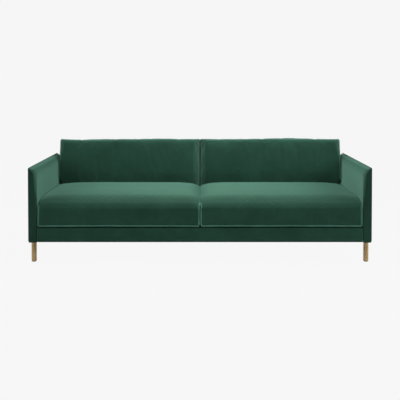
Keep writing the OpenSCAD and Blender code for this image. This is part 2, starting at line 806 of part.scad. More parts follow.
// Elastic straps up the front of the back's frame
module back_webbing() {
    half = back_half - cover_t;
    pitch = (2 * half - web_w) / (web_count - 1);
    color(strap) in_back() for (k = [0 : web_count - 1])
        translate([-half + pitch * k, back_frame_y0, back_low + cover_t])
            cube([web_w, web_t, back_z1 - back_low - 2 * cover_t]);
}

// Cover over the rear, the ends, the top and the underside of the back's frame
module back_cover() {
    half = back_half;
    color(velvet) in_back() difference() {
        translate([-half, back_frame_y0, back_low])
            cube([2 * half, back_t - back_frame_y0, back_z1 - back_low]);
        translate([-half + cover_t, back_frame_y0 - cut_over, back_low + cover_t])
            cube([2 * (half - cover_t), back_t - back_frame_y0 - cover_t + cut_over,
                back_z1 - back_low - 2 * cover_t]);
    }
}

// Plate on the back's end that reaches from the pivot to the guide pin, seen from the side
module crank_plate(side) {
    pin = polar(crank_r, crank_angle);
    lift = polar(crank_edge, recline);
    deep = polar(crank_edge, crank_angle);
    grip = polar(crank_grip, recline);
    outline = [-lift, pin - lift, pin + lift, grip + pin - deep, grip, lift];
    color(black_steel) at_side(side) translate([crank_x0, pivot_y, pivot_z]) rotate([90, 0, 90])
        difference() {
            union() {
                linear_extrude(crank_t) polygon(outline);
                cylinder(r = crank_edge, h = crank_t);
                translate([pin[0], pin[1], 0]) cylinder(r = crank_edge, h = crank_t);
            }
            translate([0, 0, -cut_over])
                cylinder(r = pivot_pin_r + run_fit, h = crank_t + 2 * cut_over);
            translate([pin[0], pin[1], -cut_over])
                cylinder(r = pin_r + run_fit, h = crank_t + 2 * cut_over);
        }
}

module guide_pins() {
    pin = pin_at(0);
    color(steel) for (side = [-1, 1]) at_side(side) translate([crank_x0, pin[0], pin[1]])
        rotate([0, 90, 0]) cylinder(r = pin_r, h = arm_in - crank_x0 - pin_tip_gap);
}

arm_frame(-1);  // arm_frame_left
arm_frame(1);  // arm_frame_right
arm_boards(-1);  // arm_boards_left
arm_boards(1);  // arm_boards_right
arm_padding(-1);  // arm_padding_left
arm_padding(1);  // arm_padding_right
arm_cover(-1);  // arm_cover_left
arm_cover(1);  // arm_cover_right
rear_rail();
rear_rail_cover();
rail_bolts();
base_stretcher();
runner_channel(-1);  // runner_channel_left
runner_channel(1);  // runner_channel_right
guide_plate(-1);  // guide_plate_left
guide_plate(1);  // guide_plate_right
front_roller_axles();
roller(-1, front_roller_y, front_roller_z);  // front_roller_left
roller(1, front_roller_y, front_roller_z);  // front_roller_right
leg(-1, front_y + leg_inset);  // leg_front_left
leg(1, front_y + leg_inset);  // leg_front_right
leg(-1, rear_y - leg_inset);  // leg_rear_left
leg(1, rear_y - leg_inset);  // leg_rear_right
leg_plates();
leg_bolts();
leg_glides();
front_rail();
front_rail_cover();
front_batten();
seat_side(-1);  // seat_side_left
seat_side(1);  // seat_side_right
seat_rear_rail();
seat_centre_beam();
seat_slats();
slat_holders();
slide_bars();
pivot_bracket(-1);  // pivot_bracket_left
pivot_bracket(1);  // pivot_bracket_right
pivot_pins();
rear_roller_axles();
roller(-1, rear_roller_y, rear_roller_z);  // rear_roller_left
roller(1, rear_roller_y, rear_roller_z);  // rear_roller_right
leg_brackets();
leg_pins();
fold_leg(-1);  // fold_leg_left
fold_leg(1);  // fold_leg_right
seat_cushion(-1);  // seat_cushion_left
seat_cushion(1);  // seat_cushion_right
back_top_rail();
back_bottom_rail();
back_uprights();
back_webbing();
back_cover();
back_cushion(-1);  // back_cushion_left
back_cushion(1);  // back_cushion_right
crank_plate(-1);  // crank_plate_left
crank_plate(1);  // crank_plate_right
guide_pins();
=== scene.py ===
import json
import math

import bpy
import numpy as np
from mathutils import Euler, Matrix, Vector, noise


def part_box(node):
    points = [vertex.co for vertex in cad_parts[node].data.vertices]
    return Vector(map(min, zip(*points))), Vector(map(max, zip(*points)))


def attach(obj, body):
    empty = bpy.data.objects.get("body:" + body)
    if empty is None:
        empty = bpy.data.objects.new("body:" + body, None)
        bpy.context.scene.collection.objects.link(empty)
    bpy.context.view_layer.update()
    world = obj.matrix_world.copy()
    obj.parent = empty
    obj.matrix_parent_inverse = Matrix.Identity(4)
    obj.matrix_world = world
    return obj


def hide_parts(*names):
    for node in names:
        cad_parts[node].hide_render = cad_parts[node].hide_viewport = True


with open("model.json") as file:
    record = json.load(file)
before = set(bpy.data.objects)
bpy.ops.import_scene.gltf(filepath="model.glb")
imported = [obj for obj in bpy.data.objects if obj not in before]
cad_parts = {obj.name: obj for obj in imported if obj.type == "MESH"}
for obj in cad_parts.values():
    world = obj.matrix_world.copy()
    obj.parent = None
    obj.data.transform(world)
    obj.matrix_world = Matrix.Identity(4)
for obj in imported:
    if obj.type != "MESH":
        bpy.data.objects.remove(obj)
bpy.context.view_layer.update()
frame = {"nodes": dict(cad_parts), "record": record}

SIDES = ((-1, "left"), (1, "right"))

# Places of the CAD nodes, in metres like every length here
ARM_LOW, ARM_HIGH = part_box("arm_cover_right")
SEAT_LOW, SEAT_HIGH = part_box("seat_cushion_right")
PIVOT_LOW, PIVOT_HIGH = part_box("pivot_pins")

# Height of the sewn line above the rails' hem
HEM_H = 0.010
RAIL_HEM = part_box("front_rail_cover")[0][2] + HEM_H

# The back's own frame starts at its lower front edge, upright, and leans back about the pivot
PIVOT = (PIVOT_LOW + PIVOT_HIGH) / 2
PIVOT_IN = 0.085
PIVOT_UP = 0.085
RECLINE = math.radians(10)
IN_BACK = (
    Matrix.Translation(PIVOT)
    @ Matrix.Rotation(-RECLINE, 4, "X")
    @ Matrix.Translation((0, -PIVOT_IN, -PIVOT_UP))
)

# Seat cushions: how far the front stands out, the crown that the CAD solid has, and the rear face's lean. The
# left and the right one differ in the noise that makes them uneven and in how round the upper front edge is
SEAT_OUT = 0.002
SEAT_CROWN = 0.018
SEAT_LEAN = math.radians(12)
SEAT_SEED = {"left": 1, "right": 2}
FRONT_ROUND = {"left": 0.029, "right": 0.023}

# Back cushions: thickness, height, and the step that sets the lower part of the outer end in beside the pivot
# bracket. Their tops wave, each wave with a place, a rise and a width, and their inner ends roll back, with a
# depth and a reach
BACK_T = 0.1317
BACK_LEN = 0.484
BACK_STEP = 0.018
BACK_STEP_AT = 0.162
BACK_STEP_H = 0.030
BACK_SEED = {"left": 3, "right": 4}
TOP_WAVES = {
    "left": ((0.30, 0.004, 0.12), (0.88, -0.004, 0.08)),
    "right": ((0.64, 0.007, 0.22),),
}
INNER_ROLL = {"left": (0.068, 0.050), "right": (0.076, 0.046)}

# Cloth: the most that a point moves, and for each kind of cushion how far it grows, how stiffly it bends and
# how firmly its points are held
SIM_FRAMES = 20
CLOTH_CAP = 0.022
GROWTH = {"seat": 0.004, "back": 0.008}
BENDING = {"seat": 1.2, "back": 0.6}
HOLD = {"seat": 0.30, "back": 0.20}

# Radii of the cords, how far they stand out of the skin, and how deep the skin pulls in along them. The seam
# cords are dark, partly painted shade, and the sheen cords are light, a painted highlight
CUSHION_SEAM_R = 0.0019
INNER_SEAM_R = 0.0031
SHEEN_CORD_R = {"seat": 0.0046, "back": 0.0034}
ARM_SEAM_R = 0.0021
RAIL_SEAM_R = 0.0024
COVER_SEAM_R = 0.0017
SEAM_OUT = 0.0002
COVER_SEAM_OUT = 0.0001
SHEEN_CORD_OUT = 0.0008
SEAM_DENT = 0.0012
COVER_SEAM_DENT = 0.0008

# Cover of the back's frame, as a box in the back's own frame
COVER_LOW = (-1.020, 0.132, 0.008)
COVER_HIGH = (1.020, 0.184, 0.450)

# Tones of the floor and of the world behind it, as the camera sees them
FLOOR_TONE = 0.933
WORLD_TONE = 0.922


# Skins: closed boxes of quads that are then shaped point by point

def stops(low, high, edge, fine, coarse):
    """Places along one axis: a count of fine steps over each edge, and coarse steps between them."""
    first = np.linspace(low, low + edge, fine, endpoint=False)
    count = max(2, round((high - low - 2 * edge) / coarse))
    middle = np.linspace(low + edge, high - edge, count + 1)
    last = np.linspace(high, high - edge, fine, endpoint=False)[::-1]
    return np.concatenate([first, middle, last])


def box_skin(xs, ys, zs):
    """Points and outward quads of a closed box, and the number of each lattice point on it."""
    counts = (len(xs), len(ys), len(zs))
    lattice = np.stack(np.meshgrid(xs, ys, zs, indexing="ij"), -1)
    index = np.indices(counts)
    on = np.zeros(counts, bool)
    for axis, count in enumerate(counts):
        on |= (index[axis] == 0) | (index[axis] == count - 1)
    number = np.full(counts, -1)
    number[on] = np.arange(on.sum())
    quads = []
    for axis in range(3):
        for end in (0, -1):
            sheet = np.take(number, end, axis)
            if axis == 1:
                sheet = sheet.T
            quad = np.stack([sheet[:-1, :-1], sheet[1:, :-1], sheet[1:, 1:], sheet[:-1, 1:]], -1)
            quad = quad.reshape(-1, 4)
            quads.append(quad if end else quad[:, ::-1])
    return lattice[on], np.concatenate(quads), number


def soften(points, centre, half, radii):
    """Rounds a box's edges, with a radius along each axis for each point."""
    offset = points - centre
    core = np.clip(offset, -(half - radii), half - radii)
    out = (offset - core) / radii
    return centre + core + radii * out / np.linalg.norm(out, axis=1, keepdims=True)


def bow(t, power=2):
    """1 in the middle of a span from -1 to 1, falling to 0 at both ends."""
    return 1 - np.abs(t) ** power


def ease(t):
    """Smooth step from 0 to 1 as t goes from 0 to 1."""
    t = np.clip(t, 0, 1)
    return t * t * (3 - 2 * t)


def step_up(value, start, over):
    """0 up to the start, 1 once the value is over past it, and smooth between."""
    return ease((value - start) / over)


def near(distance, reach, power=2):
    """1 at no distance, falling to 0 at the reach, faster at first where the power is high."""
    return np.clip(1 - distance / reach, 0, 1) ** power


def corner_mix(u, v, corners):
    """Mixes four values smoothly. corners[i][j] holds where u is at its end i and v at its end j."""
    u, v = ease((u + 1) / 2), ease((v + 1) / 2)
    (a, b), (c, d) = corners
    return (a * (1 - v) + b * v) * (1 - u) + (c * (1 - v) + d * v) * u


def edge_share(t, half, soft=0.02):
    """How far a point belongs to a cushion's long edges rather than to its ends."""
    from_end, from_face = half[0] * (1 - np.abs(t[:, 0])), half[1] * (1 - np.abs(t[:, 1]))
    return (from_end + soft) / (from_end + from_face + 2 * soft)


def perimeter(number, axis, end):
    """Point numbers round one end of a box skin."""
    sheet = np.take(number, end, axis)
    return np.concatenate([sheet[:-1, 0], sheet[-1, :-1], sheet[:0:-1, -1], sheet[0, :0:-1]])


def ripple(points, scale, seed):
    """Smooth noise at each point, from about -1 to 1."""
    shift = Vector((seed * 7.3, seed * 3.1, seed * 5.7))
    return np.array([noise.noise(Vector(p) * scale + shift) for p in points])


def make_mesh(name, points, quads, smooth=True):
    mesh = bpy.data.meshes.new(name)
    mesh.from_pydata([tuple(p) for p in points], [], [tuple(int(i) for i in q) for q in quads])
    mesh.update()
    mesh.polygons.foreach_set("use_smooth", [smooth] * len(mesh.polygons))
    piece = bpy.data.objects.new(name, mesh)
    bpy.context.scene.collection.objects.link(piece)
    return piece


def read(piece, what):
    """The place (co) or the normal of each point of a piece."""
    flat = np.empty(len(piece.data.vertices) * 3)
    piece.data.vertices.foreach_get(what, flat)
    return flat.reshape(-1, 3)


def write_points(piece, points):
    piece.data.vertices.foreach_set("co", points.ravel())
    piece.data.update()


def pull_in(piece, points, normals, lines, depth):
    """Sinks the skin of a piece along its seams."""
    for line in lines:
        points[line] -= normals[line] * depth
    write_points(piece, points)


def moved(points, matrix):
    matrix = np.array(matrix)
    return points @ matrix[:3, :3].T + matrix[:3, 3]


def mirrored(points, quads, side):
    """The same skin, on the left where side is negative."""
    if side > 0:
        return points, quads
    return points * [-1, 1, 1], quads[:, ::-1]


def tube(path, radius, closed=True, sides=8):
    """Points and quads of a round cord laid along a path."""
    path = np.asarray(path)
    n = len(path)
    if closed:
        along = np.roll(path, -1, 0) - np.roll(path, 1, 0)
    else:
        along = np.gradient(path, axis=0)
    along /= np.linalg.norm(along, axis=1, keepdims=True)

    # Starts across a direction that no cord runs along, and is carried along the path without a twist
    across = np.cross(along, [0.31, 0.53, 0.79])
    across /= np.linalg.norm(across, axis=1, keepdims=True)
    for k in range(1, n):
        across[k] = across[k - 1] - along[k] * (across[k - 1] @ along[k])
        across[k] /= np.linalg.norm(across[k])
    over = np.cross(along, across)
    if closed:
        turn = math.atan2(across[-1] @ over[0], across[-1] @ across[0])
    else:
        turn = 0.0
    points = []
    for k in range(n):
        for s in range(sides):
            a = 2 * math.pi * s / sides - turn * k / n
            points.append(path[k] + radius * (math.cos(a) * across[k] + math.sin(a) * over[k]))
    quads = []
    for k in range(n if closed else n - 1):
        m = (k + 1) % n
        for s in range(sides):
            t = (s + 1) % sides
            quads.append((k * sides + s, k * sides + t, m * sides + t, m * sides + s))
    return np.array(points), np.array(quads)


def joined(parts):
    """One skin out of several."""
    points, quads, start = [], [], 0
    for p, q in parts:
        points.append(p)
        quads.append(q + start)
        start += len(p)
    return np.concatenate(points), np.concatenate(quads)


# Materials

def grey(level):
    return (level,) * 3


def new_material(name):
    material = bpy.data.materials.new(name)
    material.use_nodes = True
    nodes = material.node_tree.nodes
    return material, nodes, material.node_tree.links, nodes["Principled BSDF"]


def coordinates(nodes, links, scale=(1, 1, 1)):
    """Object coordinates. A scale below 1 along an axis draws the pattern out along it."""
    place = nodes.new("ShaderNodeTexCoord")
    mapping = nodes.new("ShaderNodeMapping")
    mapping.inputs["Scale"].default_value = scale
    links.new(place.outputs["Object"], mapping.inputs["Vector"])
    return mapping.outputs["Vector"]


def noise_node(nodes, links, vector, scale, detail=2.0, rough=0.5):
    texture = nodes.new("ShaderNodeTexNoise")
    texture.inputs["Scale"].default_value = scale
    texture.inputs["Detail"].default_value = detail
    texture.inputs["Roughness"].default_value = rough
    links.new(vector, texture.inputs["Vector"])
    return texture.outputs["Fac"]


def ramp_node(nodes, links, value, steps):
    ramp = nodes.new("ShaderNodeValToRGB")
    while len(ramp.color_ramp.elements) < len(steps):
        ramp.color_ramp.elements.new(0.5)
    for element, (at, colour) in zip(ramp.color_ramp.elements, steps):
        element.position = at
        element.color = (*colour, 1)
    links.new(value, ramp.inputs["Fac"])
    return ramp.outputs["Color"]


def mix_node(nodes, links, kind, factor, a, b):
    """Mixes two colours. Each of factor, a and b is a constant or another node's output."""
    mix = nodes.new("ShaderNodeMix")
    mix.data_type = "RGBA"
    mix.blend_type = kind
    for socket, value in (("Factor", factor), ("A", a), ("B", b)):
        target = [s for s in mix.inputs if s.name == socket and s.enabled][0]
        if hasattr(value, "links"):
            links.new(value, target)
        else:
            target.default_value = value if socket == "Factor" else (*value, 1)
    return [s for s in mix.outputs if s.enabled][0]


def range_node(nodes, links, value, low, high):
    spread = nodes.new("ShaderNodeMapRange")
    spread.inputs["To Min"].default_value = low
    spread.inputs["To Max"].default_value = high
    links.new(value, spread.inputs["Value"])
    return spread.outputs["Result"]


def bump_node(nodes, links, height, strength, distance, normal=None):
    bump = nodes.new("ShaderNodeBump")
    bump.inputs["Strength"].default_value = strength
    bump.inputs["Distance"].default_value = distance
    links.new(height, bump.inputs["Height"])
    if normal is not None:
        links.new(normal, bump.inputs["Normal"])
    return bump.outputs["Normal"]


def velvet_material(name, dark, light, nap=1.0):
    """Short green pile: dark seen straight on and bright at a glancing angle, with brushed patches."""
    material, nodes, links, shader = new_material(name)
    place = coordinates(nodes, links)
    patches = noise_node(nodes, links, place, scale=5.5, detail=3.0, rough=0.55)
    pile = noise_node(nodes, links, place, scale=620, rough=0.6)
    base = ramp_node(nodes, links, patches, [(0.3, dark), (0.7, light)])
    tips = ramp_node(nodes, links, pile, [(0.3, grey(0.72)), (0.7, grey(1.0))])
    links.new(mix_node(nodes, links, "MULTIPLY", 1.0, base, tips), shader.inputs["Base Color"])
    links.new(range_node(nodes, links, patches, 0.86, 1.0), shader.inputs["Roughness"])
    shader.inputs["Specular IOR Level"].default_value = 0.05
    shader.inputs["Sheen Weight"].default_value = nap
    shader.inputs["Sheen Roughness"].default_value = 0.5
    shader.inputs["Sheen Tint"].default_value = (0.225, 0.475, 0.363, 1)
    upright = coordinates(nodes, links, (1, 1, 0.45))
    brushed = noise_node(nodes, links, upright, scale=38, detail=3.0, rough=0.6)
    soft = bump_node(nodes, links, brushed, strength=0.10, distance=0.004)
    fine = bump_node(nodes, links, pile, strength=0.25, distance=0.0006, normal=soft)
    links.new(fine, shader.inputs["Normal"])
    return material


def wood_material(name, pale, deep, pore, stretch, gloss):
    """Wood with growth rings, streaks and pores drawn out along the grain."""
    material, nodes, links, shader = new_material(name)
    place = coordinates(nodes, links, stretch)
    warp = noise_node(nodes, links, place, scale=6)
    rings = nodes.new("ShaderNodeTexWave")
    rings.wave_type = "BANDS"
    rings.bands_direction = "DIAGONAL"
    rings.inputs["Scale"].default_value = 26
    rings.inputs["Distortion"].default_value = 5.0
    rings.inputs["Detail"].default_value = 2.0
    links.new(place, rings.inputs["Vector"])
    figure = ramp_node(nodes, links, rings.outputs["Fac"], [(0.0, pale), (1.0, deep)])
    tone = ramp_node(nodes, links, warp, [(0.25, grey(0.86)), (0.75, grey(1.0))])
    pores = noise_node(nodes, links, place, scale=170, rough=0.7)
    spots = ramp_node(nodes, links, pores, [(0.36, pore), (0.46, grey(1.0))])
    colour = mix_node(nodes, links, "MULTIPLY", 1.0, figure, tone)
    colour = mix_node(nodes, links, "MULTIPLY", 0.7, colour, spots)
    links.new(colour, shader.inputs["Base Color"])
    links.new(range_node(nodes, links, pores, gloss, gloss + 0.2), shader.inputs["Roughness"])
    relief = bump_node(nodes, links, pores, strength=0.2, distance=0.0004)
    links.new(relief, shader.inputs["Normal"])
    return material


def speckled_material(name, dark, light, scale, rough, metal=0.0, relief=0.15):
    """Any plain finish: two close tones, changing roughness and a fine surface."""
    material, nodes, links, shader = new_material(name)
    place = coordinates(nodes, links)
    grain = noise_node(nodes, links, place, scale, detail=3.0, rough=0.6)
    wide = noise_node(nodes, links, place, scale / 12)
    colour = ramp_node(nodes, links, grain, [(0.3, dark), (0.7, light)])
    worn = ramp_node(nodes, links, wide, [(0.3, grey(0.88)), (0.7, grey(1.0))])
    links.new(mix_node(nodes, links, "MULTIPLY", 1.0, colour, worn), shader.inputs["Base Color"])
    links.new(range_node(nodes, links, wide, rough - 0.08, rough + 0.08), shader.inputs["Roughness"])
    surface = bump_node(nodes, links, grain, strength=relief, distance=0.0005)
    links.new(surface, shader.inputs["Normal"])
    shader.inputs["Metallic"].default_value = metal
    return material


def woven_material(name, dark, light, radian):
    """Two crossing sets of threads. radian is the length over which their wave turns by one radian."""
    texture_radians = 20
    material, nodes, links, shader = new_material(name)
    place = coordinates(nodes, links)
    threads = []
    for direction in ("X", "Z"):
        wave = nodes.new("ShaderNodeTexWave")
        wave.bands_direction = direction
        wave.inputs["Scale"].default_value = 1 / (radian * texture_radians)
        wave.inputs["Distortion"].default_value = 0.6
        links.new(place, wave.inputs["Vector"])
        threads.append(wave.outputs["Fac"])
    height = nodes.new("ShaderNodeMath")
    height.operation = "MAXIMUM"
    links.new(threads[0], height.inputs[0])
    links.new(threads[1], height.inputs[1])
    colour = ramp_node(nodes, links, height.outputs[0], [(0.2, dark), (0.9, light)])
    patches = noise_node(nodes, links, place, scale=9)
    tone = ramp_node(nodes, links, patches, [(0.3, grey(0.8)), (0.7, grey(1.0))])
    links.new(mix_node(nodes, links, "MULTIPLY", 1.0, colour, tone), shader.inputs["Base Color"])
    shader.inputs["Roughness"].default_value = 0.85
    weave = bump_node(nodes, links, height.outputs[0], strength=0.4, distance=0.0005)
    links.new(weave, shader.inputs["Normal"])
    return material


VELVET = velvet_material("velvet", (0.0129, 0.0475, 0.0305), (0.0188, 0.0665, 0.0430))
# Darker velvet with little sheen for the seam cords: partly the seams' own tone, partly painted shade along
# gaps and unlit edges
SEAM_AND_SHADE = velvet_material("seam", (0.006, 0.022, 0.014), (0.009, 0.030, 0.020), nap=0.25)
# Light velvet for the cords along the cushions' front edges: a painted highlight that stands for the sheen of
# the rounded edges
PAINTED_SHEEN = velvet_material("edge", (0.058, 0.157, 0.118), (0.083, 0.222, 0.168))
# Darker copy of the velvet: painted shade on the arms' front faces and on the cords in the gap between the
# back cushions
SHADED_VELVET = velvet_material("shaded_velvet", (0.0104, 0.0380, 0.0246), (0.0152, 0.0532, 0.0346), nap=0.85)
LINING = woven_material("lining", (0.006, 0.007, 0.007), (0.020, 0.022, 0.022), radian=0.0012)
MATERIALS = {
    "velvet": VELVET,
    "foam": speckled_material(
        "foam", (0.74, 0.68, 0.50), (0.86, 0.81, 0.63), scale=420, rough=0.9, relief=0.5),
    "frame_timber": wood_material(
        "frame_timber", pale=(0.72, 0.55, 0.36), deep=(0.60, 0.42, 0.24), pore=(0.75, 0.66, 0.52),
        stretch=(1.0, 6, 6), gloss=0.6),
    "slat_beech": wood_material(
        "slat_beech", pale=(0.74, 0.56, 0.38), deep=(0.66, 0.48, 0.30), pore=(0.70, 0.58, 0.44),
        stretch=(6, 0.8, 6), gloss=0.42),
    "oak": wood_material(
        "oak", pale=(0.56, 0.385, 0.172), deep=(0.45, 0.295, 0.117), pore=(0.62, 0.52, 0.38),
        stretch=(5, 5, 0.5), gloss=0.42),
    "hardboard": speckled_material(
        "hardboard", (0.20, 0.12, 0.07), (0.33, 0.21, 0.12), scale=260, rough=0.7),
    "zinc_steel": speckled_material(
        "zinc_steel", (0.50, 0.51, 0.53), (0.66, 0.67, 0.69), scale=140, rough=0.36, metal=1.0, relief=0.05),
    "black_steel": speckled_material(
        "black_steel", (0.018, 0.018, 0.019), (0.034, 0.034, 0.036), scale=900, rough=0.5),
    "black_plastic": speckled_material(
        "black_plastic", (0.016, 0.016, 0.016), (0.028, 0.028, 0.028), scale=700, rough=0.45),
    "webbing": woven_material("webbing", (0.020, 0.020, 0.022), (0.070, 0.070, 0.075), radian=0.0022),
}


def dress(piece, body, slot, *nodes, material=None):
    """Rides a piece on its body, gives it its finish and lets it stand for its CAD nodes."""
    piece.data.materials.append(material or MATERIALS[slot])
    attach(piece, body)
    if nodes:
        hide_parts(*nodes)


# Cushions

def add_cloth(piece, pinned, growth, bending):
    """Lets the skin swell like a stuffed cover, held where pinned is 1."""
    group = piece.vertex_groups.new(name="pin")
    for weight in np.unique(pinned):
        if weight > 0:
            group.add([int(i) for i in np.flatnonzero(pinned == weight)], float(weight), "REPLACE")
    cloth = piece.modifiers.new("cloth", "CLOTH")
    settings = cloth.settings
    settings.quality = 5
    settings.mass = 0.15
    settings.tension_stiffness = settings.compression_stiffness = 25
    settings.shear_stiffness = 12
    settings.bending_stiffness = bending
    settings.use_pressure = True
    settings.uniform_pressure_force = 4.0
    settings.shrink_min = -growth
    settings.vertex_group_mass = "pin"
    settings.pin_stiffness = 1.0
    settings.effector_weights.gravity = 0
    cloth.collision_settings.use_collision = False
    cloth.point_cache.frame_start = 1
    cloth.point_cache.frame_end = SIM_FRAMES


def settle(pieces):
    """Runs the cloth and keeps its result, with no point moved further than the cap."""
    scene = bpy.context.scene
    for step in range(1, SIM_FRAMES + 1):
        scene.frame_set(step)
    graph = bpy.context.evaluated_depsgraph_get()
    results = [read(piece.evaluated_get(graph), "co") for piece in pieces]
    for piece, points in zip(pieces, results):
        start = read(piece, "co")
        move = points - start
        length = np.linalg.norm(move, axis=1, keepdims=True)
        write_points(piece, start + move * np.minimum(1, CLOTH_CAP / np.maximum(length, 1e-9)))
        piece.modifiers.clear()
        piece.vertex_groups.clear()
    scene.frame_set(1)


def seat_skin(word):
    """The left or the right seat cushion before it swells, both as they would be on the right."""
    low, high = np.array(SEAT_LOW), np.array(SEAT_HIGH)
    low[1] -= SEAT_OUT
    high[2] -= SEAT_CROWN
    xs = stops(low[0], high[0], edge=0.030, fine=6, coarse=0.013)
    ys = stops(low[1], high[1], edge=0.056, fine=9, coarse=0.013)
    zs = stops(low[2], high[2], edge=0.045, fine=7, coarse=0.012)
    points, quads, number = box_skin(xs, ys, zs)
    centre, half = (low + high) / 2, (high - low) / 2

    # Radii below and above: of the long edges at the front and the rear, and of the inner and the outer end
    t = (points - centre) / half
    into = corner_mix(t[:, 2], t[:, 1], ((0.015, 0.014), (0.029, 0.020)))
    down = corner_mix(t[:, 2], t[:, 1], ((0.034, 0.014), (FRONT_ROUND[word], 0.020)))
    ends = corner_mix(t[:, 2], t[:, 0], ((0.010, 0.010), (0.009, 0.015)))
    down = ends + (down - ends) * edge_share(t, half)
    ends += (0.009 - 0.004 * t[:, 0]) * near(points[:, 1] - low[1], 0.075)
    points = soften(points, centre, half, np.stack([ends, into, down], 1))

    # The top is crowned, drops towards the front edge and dips beside the gap between the cushions
    t = (points - centre) / half
    top, below = ease(t[:, 2]), ease(-t[:, 2])
    front, inner = points[:, 1] - low[1], points[:, 0] - low[0]
    crown, droop, dip, hem_rise = 0.0195, 0.040, 0.009, 0.001
    points[:, 2] += crown * top * bow(t[:, 0], 7) * bow(np.minimum(t[:, 1], 0))
    points[:, 2] -= droop * near(front, 0.15, 2.3) * top
    points[:, 2] -= dip * near(inner, 0.08) * top
    points[:, 2] += hem_rise * near(front, 0.030) * below

    # The outer end widens towards the front, the front bulges and the rear face leans
    widening, bulge, unevenness = 0.0045, 0.003, 0.0006
    points[:, 0] += widening * ease((-0.06 - points[:, 1]) / 0.1) * ease(t[:, 0])
    points[:, 1] -= bulge * bow(t[:, 0]) * bow(t[:, 2]) * np.maximum(-t[:, 1], 0)
    points[:, 1] -= (half[2] * (1 - t[:, 2])) * math.tan(SEAT_LEAN) * np.maximum(t[:, 1], 0)
    points += unevenness * ripple(points, 9, SEAT_SEED[word])[:, None]
    return points, quads, number, t


def back_skin(word):
    """The left or the right back cushion before it swells, on the right and in the back's own frame."""
    low = np.array([SEAT_LOW[0], 0, 0])
    high = np.array([SEAT_HIGH[0], BACK_T, BACK_LEN])
    xs = stops(low[0], high[0], edge=0.045, fine=8, coarse=0.013)
    ys = stops(low[1], high[1], edge=0.030, fine=5, coarse=0.012)
    zs = stops(low[2], high[2], edge=0.050, fine=8, coarse=0.013)
    points, quads, number = box_skin(xs, ys, zs)
    centre, half = (low + high) / 2, (high - low) / 2

    # Radii of the long edges, below and above, at the front and the rear, and of the ends
    t = (points - centre) / half
    long_edges = corner_mix(t[:, 2], t[:, 1], ((0.046, 0.020), (0.039, 0.018)))
    ends = 0.0065 + 0.0015 * t[:, 0]
    upright = ends + (long_edges - ends) * edge_share(t, half)
    points = soften(points, centre, half, np.stack([ends, long_edges, upright], 1))

    # The face is crowned, thinner near its lower edge, and rolls back at both ends
    t = (points - centre) / half
    top, front = np.maximum(t[:, 2], 0), (1 - t[:, 1]) / 2
    inner, outer = points[:, 0] - low[0], high[0] - points[:, 0]
    crown, thinning, unevenness = 0.010, 0.009, 0.0014
    points[:, 1] -= crown * front * bow(t[:, 0], 8) * bow(t[:, 2])
    upper = step_up(points[:, 2], 0.34, 0.10)
    points[:, 1] += front * thinning * (1 - step_up(points[:, 2], 0.15, 0.10))
    depth, reach = INNER_ROLL[word]
    rolls = depth * near(inner, reach, 1.3)
    rolls = rolls + (0.008 + 0.024 * upper) * near(outer, 0.016 + 0.026 * upper, 1.5)
    points[:, 1] += front * rolls

    # The top rises at its corners and waves a little
    rise, inner_rise, outer_rise = 0.0042, 0.009, 0.005
    points[:, 2] += top * (rise + inner_rise * near(inner, 0.06) + outer_rise * near(outer, 0.06))
    for place, height, width in TOP_WAVES[word]:
        points[:, 2] += height * top * np.exp(-((points[:, 0] - place) / width) ** 2)

    # The outer end is set in beside the pivot bracket, and its front half reaches out above that
    below = 1 - step_up(points[:, 2], BACK_STEP_AT, BACK_STEP_H)
    points[:, 0] -= BACK_STEP * below * ease(t[:, 0])
    ahead = ease(t[:, 0]) * ease((0.5 - t[:, 1]) / 0.6)
    middle = step_up(points[:, 2], 0.12, 0.06)
    points[:, 0] += ahead * (0.0058 * upper + 0.0035 * (1 - upper) * middle)
    points += unevenness * ripple(points, 8, BACK_SEED[word])[:, None]
    return points, quads, number, t


def seat_lines(number):
    """Points along the seam round a seat cushion's outer end, along its inner seams and along its light cord,
    whose colour is a painted highlight for the sheen of the front edges.

    The cord runs forward on top of the inner end, down the front's inner corner, along its lower edge and up
    its outer corner.
    """
    inner = perimeter(number, 0, 0)
    loops = [perimeter(number, 0, -1)]
    edges = [number[:, -1, 0], number[:, -1, -1], np.append(inner, inner[0])]
    on_top = number[0, 7:0:-1, -1]
    sheen_rim = np.concatenate([on_top, number[0, 0, ::-1], number[1:-1, 0, 0], number[-1, 0, :]])
    return loops, edges, sheen_rim


def back_lines(number):
    """Points along the seam round a back cushion's rear, along its inner seams and along its light cord,
    whose colour is a painted highlight for the sheen of the front edges.

    The cord runs along the upper front edge and down the outer one.
    """
    loops = [perimeter(number, 1, -1)]
    edges = [number[0, 0, :], number[:, 0, 0]]
    sheen_rim = np.concatenate([number[:, 0, -1], number[-1, 0, -2::-1]])
    return loops, edges, sheen_rim


def seam_weights(count, hold, *lines):
    """How firmly each point keeps its place: hold everywhere, and fully along the seams."""
    weights = np.full(count, hold)
    for line in lines:
        weights[line] = 1.0
    return weights


def build_cushions():
    """Makes the four skins. Seats are also held at their underside, backs at their rear and outer end."""
    made = []
    for side, word in SIDES:
        points, quads, number, t = seat_skin(word)
        loops, edges, sheen_rim = seat_lines(number)
        pinned = seam_weights(len(points), HOLD["seat"], *loops, *edges, sheen_rim)
        pinned[t[:, 2] < -0.98] = 1.0
        points, quads = mirrored(points, quads, side)
        piece = make_mesh("seat_cushion_%s_cloth" % word, points, quads)
        made.append((piece, "seat", "seat_cushion_" + word, loops, edges, sheen_rim, pinned))
    for side, word in SIDES:
        points, quads, number, t = back_skin(word)
        loops, edges, sheen_rim = back_lines(number)
        pinned = seam_weights(len(points), HOLD["back"], *loops, *edges, sheen_rim)
        outer_hold = 0.7 * near(1 - t[:, 0], 0.35, power=1)
        pinned = np.round(np.maximum(pinned, outer_hold), 2)
        pinned[t[:, 1] > 0.98] = 1.0
        points, quads = mirrored(moved(points, IN_BACK), quads, side)
        piece = make_mesh("back_cushion_%s_cloth" % word, points, quads)
        made.append((piece, "back", "back_cushion_" + word, loops, edges, sheen_rim, pinned))
    return made


